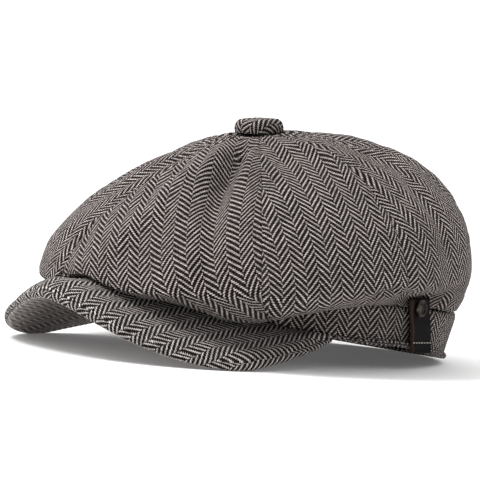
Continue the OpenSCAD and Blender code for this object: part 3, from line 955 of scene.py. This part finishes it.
def build_visor():
    f = np.linspace(-VISOR_END, VISOR_END, VISOR_COLS)
    top, outward = visor_profile(f, np.linspace(80, EDGE_SEAM, EDGE_TURNS), False)
    normal = grid_normals(top, False)
    wave = 0.3 * ripple(top, 42, 71) + 0.1 * ripple(top, 9, 72)
    fade = np.ones(len(top))
    fade[VISOR_ROWS - 4:] = 0.35
    outer = top + normal * (wave * fade[:, None])[..., None]
    uv = visor_flat(top, outward)
    weave = uv * [1 / VISOR_SPREAD, VISOR_DENSE]
    piece = cloth("visor_top_tweed", outer, outer - normal * VISOR_CLOTH_T, weave, TWEED_VISOR_PAINTED_LIGHT)
    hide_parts("visor_top_cover", "visor_edge_roll")

    low, outward = visor_profile(f, np.linspace(-84, EDGE_SEAM - 6, 4), True)
    normal = grid_normals(low, True)
    outer = low + normal * 0.12 * ripple(low, 25, 73)[..., None]
    uv = visor_flat(low, outward)
    inner = outer - normal * UNDER_CLOTH_T
    piece = cloth("visor_under_tweed", outer, inner, uv, TWEED_UNDER_PAINTED_FILL)
    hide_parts("visor_under_cover")


# ---------------------------------------------------------------- button


def moved(points, matrix):
    turn = np.array(matrix.to_3x3())
    return points @ turn.T + np.array(matrix.translation)


def build_button():
    """Cloth drawn over a round shell and gathered under it."""
    turns = np.arange(BUTTON_SIDES) * 360.0 / BUTTON_SIDES
    arc = np.linspace(0, 1, 30)
    flat_r = BUTTON_R - BUTTON_BEND
    turn = BUTTON_TURN * (arc - BUTTON_TOP) / (1 - BUTTON_TOP)
    fall = (BUTTON_H - 0.2) * (1 - cosd(turn)) / (1 - cosd(BUTTON_TURN))
    radius = np.where(arc < BUTTON_TOP, arc / BUTTON_TOP * flat_r, flat_r + BUTTON_BEND * sind(turn))
    height = np.where(arc < BUTTON_TOP, BUTTON_H - 0.5 * (arc / BUTTON_TOP) ** 2, BUTTON_H - 0.5 - fall)
    radius[0] = 0.15
    turned_in = radius[-1] - np.array([1.2, 2.6])
    radius = np.concatenate([radius, turned_in])
    height = np.concatenate([height, [0.15, 0.3]])
    gathers = np.sin(np.radians(turns) * BUTTON_GATHERS + 0.7 * np.sin(np.radians(turns) * 3))
    depth = np.concatenate([0.42 * np.clip((arc - 0.6) / 0.4, 0, 1) ** 1.6, [0.4, 0.4]])
    reach = radius[:, None] + depth[:, None] * gathers[None] - depth[:, None] * 0.4
    grid = vec(reach * cosd(turns), reach * sind(turns), height[:, None] + 0 * reach)
    slope = arc_lengths(np.stack([radius, height, 0 * height], -1)[:, None], 0)
    uv = np.stack([slope * cosd(turns), slope * sind(turns)], -1)
    normal = grid_normals(np.concatenate([grid[:, -1:], grid, grid[:, :1]], 1), True)[:, 1:-1]
    middle = np.array([0, 0, BUTTON_H / 2])
    normal = normal * np.sign(((grid - middle) * normal).sum(-1).mean())
    uneven = 0.16 * ripple(grid, 9, 81)
    outer = grid + normal * uneven[..., None]
    inner = outer - normal * BUTTON_CLOTH_T
    lean = Matrix.Rotation(math.atan(RIM_TILT / RIM_HALF_L), 4, "X")
    place = (Matrix.Translation((0, -TOP_FORWARD, TOP_Z)) @ lean
             @ Matrix.Translation((0, 0, BUTTON_BASE - 0.15)))
    piece = cloth("button_tweed", moved(outer, place), moved(inner, place), uv, TWEED, loop=True)
    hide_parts("button_cover")


# ---------------------------------------------------------------- leather tab

TAB_HEADING = math.degrees(
    math.atan2(-cosd(TAB_ANGLE) / HEM_HALF_L, sind(TAB_ANGLE) / HEM_HALF_W))
TAB_FRAME = (
    Matrix.Translation(Vector(hem(np.array(TAB_ANGLE)) + [0, CENTRE_SHIFT, 0]))
    @ Matrix.Rotation(math.radians(TAB_HEADING), 4, "Z")
    @ Matrix.Rotation(math.radians(TAB_TILT), 4, "Y")
    @ Matrix.Rotation(math.radians(TAB_LEAN), 4, "X")
)


def on_tab(points):
    return moved(np.asarray(points, float), TAB_FRAME)


def strap_section(corner=0.5, side_steps=5, face_steps=15):
    """Outline of the leather's cross section: (share across, share out) and if it is cut edge."""
    half_w, half_t = TAB_W / 2, TAB_T / 2
    points, cut = [], []
    for sign in (1, -1):
        for step in range(face_steps):
            points.append((sign * (half_w - corner) * (1 - 2 * step / face_steps), sign * half_t))
            cut.append(False)
        for step in range(side_steps):
            turn = 90 - 180 * step / (side_steps - 1)
            points.append((-sign * (half_w - corner + corner * cosd(turn)), sign * half_t * sind(turn)))
            cut.append(True)
    return np.array(points), np.array(cut)


def strap_bend(z):
    """How far the leather stands off its straight line."""
    return 0.35 * bell(z - 12, 5) - 0.25 * bell(z - 19, 4) + 0.25 * bell(z - 30, 4)


def drawn(points):
    """The strap's foot is pulled back and down a little by its stitches."""
    x, y, z = points[..., 0], points[..., 1], points[..., 2]
    pull = np.clip(1 - z / TAB_L, 0, 1) ** 1.2
    return vec(x, y * (1 + FOOT_WIDER * pull) + FOOT_BACK * pull, z - FOOT_SLOPE * y * pull**2)


def build_tab():
    section, cut = strap_section()
    z = np.linspace(TAB_FOOT_Z + 0.2, TAB_L - 0.2, 64)
    ends = np.minimum(z - TAB_FOOT_Z, TAB_L - z)
    thin = np.where(z < 5, np.clip(0.45 + 0.55 * (ends / 1.4) ** 0.5, 0, 1), np.clip(0.7 + ends, 0, 1))
    narrow = np.where(z > 25, np.clip(0.93 + 0.07 * (ends / 1.2) ** 0.5, 0, 1), 1)
    wave = 1 + 0.006 * np.sin(z * 0.9)
    rings = vec(TAB_STAND + TAB_T / 2 + strap_bend(z)[:, None] + section[None, :, 1] * thin[:, None],
                section[None, :, 0] * (narrow * wave)[:, None], z[:, None] + 0 * section[None, :, 0])
    around = np.concatenate([[0], np.cumsum(np.linalg.norm(np.diff(section, axis=0), axis=1))])
    uv = np.stack([around[None] + 0 * z[:, None], z[:, None] + 0 * around[None]], -1)
    piece = capped_tube("leather_strap", on_tab(drawn(rings)), uv, LEATHER, body=None, shift=False)
    piece.data.materials.append(LEATHER_EDGE)
    cols = len(section)
    for face in piece.data.polygons:
        at = [v % cols for v in face.vertices]
        edge_face = len(at) == 4 and sum(cut[i] for i in at) >= 2 and max(at) - min(at) < cols - 1
        top_face = len(at) > 4 and max(face.vertices) >= cols * (len(z) - 1)
        face.material_index = int(edge_face or top_face)
    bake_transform(piece)
    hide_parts("leather_tab", "tab_anchor")


def build_stitches():
    """Running stitches across the foot of the tab, each pulled into the leather at its ends."""
    sides, steps = 8, 9
    points, faces, uv = [], [], []
    for number in range(-3, 4):
        share = np.linspace(-1, 1, steps)
        tilt = 0.12 * math.sin(number * 2.1)
        path = vec(TAB_STAND + TAB_T + 0.12 - 0.42 * share**4,
                   number * STITCH_PITCH + share * STITCH_L / 2, STITCH_Z + tilt * share)
        radii = THREAD_R * np.sqrt(np.maximum(0.05, 1 - share**6))
        turns = np.arange(sides) * 2 * np.pi / sides
        loop = vec(path[:, None, 0] + radii[:, None] * np.cos(turns), path[:, None, 1] + 0 * turns,
                   path[:, None, 2] + radii[:, None] * np.sin(turns))
        first = len(points) * steps * sides
        faces += tube_faces(steps, sides, first)
        points.append(on_tab(drawn(loop)).reshape(-1, 3))
        along, around = share[:, None] * STITCH_L, turns[None] * THREAD_R
        uv.append(np.stack([along + 0 * turns, around + 0 * along], -1).reshape(-1, 2))
    piece = make_piece("tab_running_stitch", np.concatenate(points), faces,
                       np.concatenate(uv), THREAD, shift=False)
    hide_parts("tab_stitching")


def build_stud():
    """Cap of the press stud: a raised rim round a hollow with hammered petals. The profile is
    (radius, height) in millimetres."""
    sides = 72
    profile = np.array([
        (0.05, 0.95), (0.9, 0.93), (1.7, 0.82), (2.5, 0.66), (3.1, 0.58), (3.45, 0.72), (3.7, 1.05),
        (4.0, 1.3), (4.35, 1.38), (4.7, 1.25), (4.95, 0.95), (5.0, 0.6), (4.95, 0.1), (4.6, 0.0),
        (1.5, 0.0), (1.4, -1.9), (0.05, -1.95)])
    turns = np.arange(sides) * 360.0 / sides
    petals = 0.12 * cosd(turns * 8)[None] * bell(profile[:, :1] - 2.2, 0.9)
    dents = 0.05 * ripple(vec(profile[:, :1] * cosd(turns), profile[:, :1] * sind(turns), 0), 1.6, 91)
    dents = dents * (profile[:, 1:] > 0.5)
    reach, out = profile[:, :1] + 0 * turns, profile[:, 1:] + petals + dents
    z = TAB_STAND + TAB_T + out + strap_bend(STUD_Z)
    rings = vec(z, reach * cosd(turns), STUD_Z + reach * sind(turns))
    flat = np.stack([reach * cosd(turns), reach * sind(turns)], -1)
    piece = capped_tube("stud_cap_rim", on_tab(rings), flat, BRONZE, body="tab", shift=False)
    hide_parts("stud_cap")


build_crown()
build_lining()
build_band()
build_hem()
build_sweatband()
build_visor()
build_button()
build_tab()
build_stitches()
build_stud()


def dress_cad_nodes():
    """Gives the CAD nodes that stay their materials."""
    finishes = {"back_elastic": ELASTIC, "visor_board": BOARD, "button_shell": STEEL,
                "button_shank": STEEL, "stud_socket": BRONZE, "stud_post": BRONZE}
    for name, material in finishes.items():
        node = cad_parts[name]
        if not node.material_slots:
            node.data.materials.append(material)
        for part in node.material_slots:
            part.material = material


dress_cad_nodes()


# ---------------------------------------------------------------- floor, light and camera

VIEW_AZIMUTH = 47.0
VIEW_ELEVATION = 5.0
VIEW_ROLL = 4.8
VIEW_DISTANCE = 1.6
VIEW_LENS = 210.0
AIM_ACROSS = -0.0234
AIM_UP = 0.064
ROOM_BRIGHT_WAY = (-0.72, 0.35, 0.6)
ROOM_BRIGHT = 1.35
ROOM_DIM = 0.08
FLOOR_GLOW = 0.09
KEY_PLACE = (-0.45, -0.9, 1.8)
KEY_POWER = 26.5
KEY_SIZE = 0.8
KEY_TARGET = (0, -0.02, 0.05)
ROOM_SPAN = (-0.7, 0.45)
FLOOR_SIZE = 12


def build_floor():
    bpy.ops.mesh.primitive_plane_add(size=FLOOR_SIZE, location=(0, 0, 0))
    floor = bpy.context.object
    floor.name = "floor"
    graph = Graph("floor_pale")
    grain = graph.noise(graph.place(), 30.0)
    floor.data.materials.append(
        graph.finish(graph.mix(grain, (0.93, 0.93, 0.93), (0.96, 0.96, 0.96)), 0.9,
                     Specular_IOR_Level=0.1, Emission_Strength=FLOOR_GLOW,
                     Emission_Color=(1.0, 1.0, 1.0, 1.0)))


def build_light():
    """A white room, dimmer on the viewer's side, and one soft light from the front."""
    world = bpy.data.worlds.new("studio")
    bpy.context.scene.world = world
    world.use_nodes = True
    tree = world.node_tree
    sky = tree.nodes.new("ShaderNodeTexCoord")
    along = tree.nodes.new("ShaderNodeVectorMath")
    along.operation = "DOT_PRODUCT"
    along.inputs[1].default_value = ROOM_BRIGHT_WAY
    power = tree.nodes.new("ShaderNodeMapRange")
    for socket, value in zip(power.inputs[1:5], (*ROOM_SPAN, ROOM_DIM, ROOM_BRIGHT)):
        socket.default_value = value
    back = tree.nodes["Background"]
    tree.links.new(sky.outputs["Generated"], along.inputs[0])
    tree.links.new(along.outputs["Value"], power.inputs[0])
    tree.links.new(power.outputs[0], back.inputs[1])
    back.inputs[0].default_value = (1.0, 1.0, 1.0, 1.0)
    lamp = bpy.data.lights.new("key", "AREA")
    lamp.shape, lamp.size, lamp.energy = "DISK", KEY_SIZE, KEY_POWER
    light = bpy.data.objects.new("key", lamp)
    bpy.context.scene.collection.objects.link(light)
    light.location = KEY_PLACE
    way = Vector(KEY_TARGET) - Vector(KEY_PLACE)
    light.rotation_euler = way.to_track_quat("-Z", "Y").to_euler()
    bpy.context.scene.view_settings.view_transform = "Standard"


def build_camera():
    a, e, roll = (math.radians(x) for x in (VIEW_AZIMUTH, VIEW_ELEVATION, VIEW_ROLL))
    back = Vector((math.sin(a) * math.cos(e), -math.cos(a) * math.cos(e), math.sin(e)))
    level = Vector((math.cos(a), math.sin(a), 0))
    upright = back.cross(level)
    right = level * math.cos(roll) + upright * math.sin(roll)
    up = upright * math.cos(roll) - level * math.sin(roll)
    centre = Vector((0, CENTRE_SHIFT * MM, 0))
    place = centre + VIEW_DISTANCE * back
    back = (place - (centre + AIM_ACROSS * right + AIM_UP * up)).normalized()
    right = (right - right.dot(back) * back).normalized()
    up = back.cross(right)
    camera = bpy.data.objects.new("camera", bpy.data.cameras.new("camera"))
    bpy.context.scene.collection.objects.link(camera)
    camera.matrix_world = Matrix.Translation(place) @ Matrix((right, up, back)).transposed().to_4x4()
    camera.data.lens = VIEW_LENS
    bpy.context.scene.camera = camera


build_floor()
build_light()
build_camera()
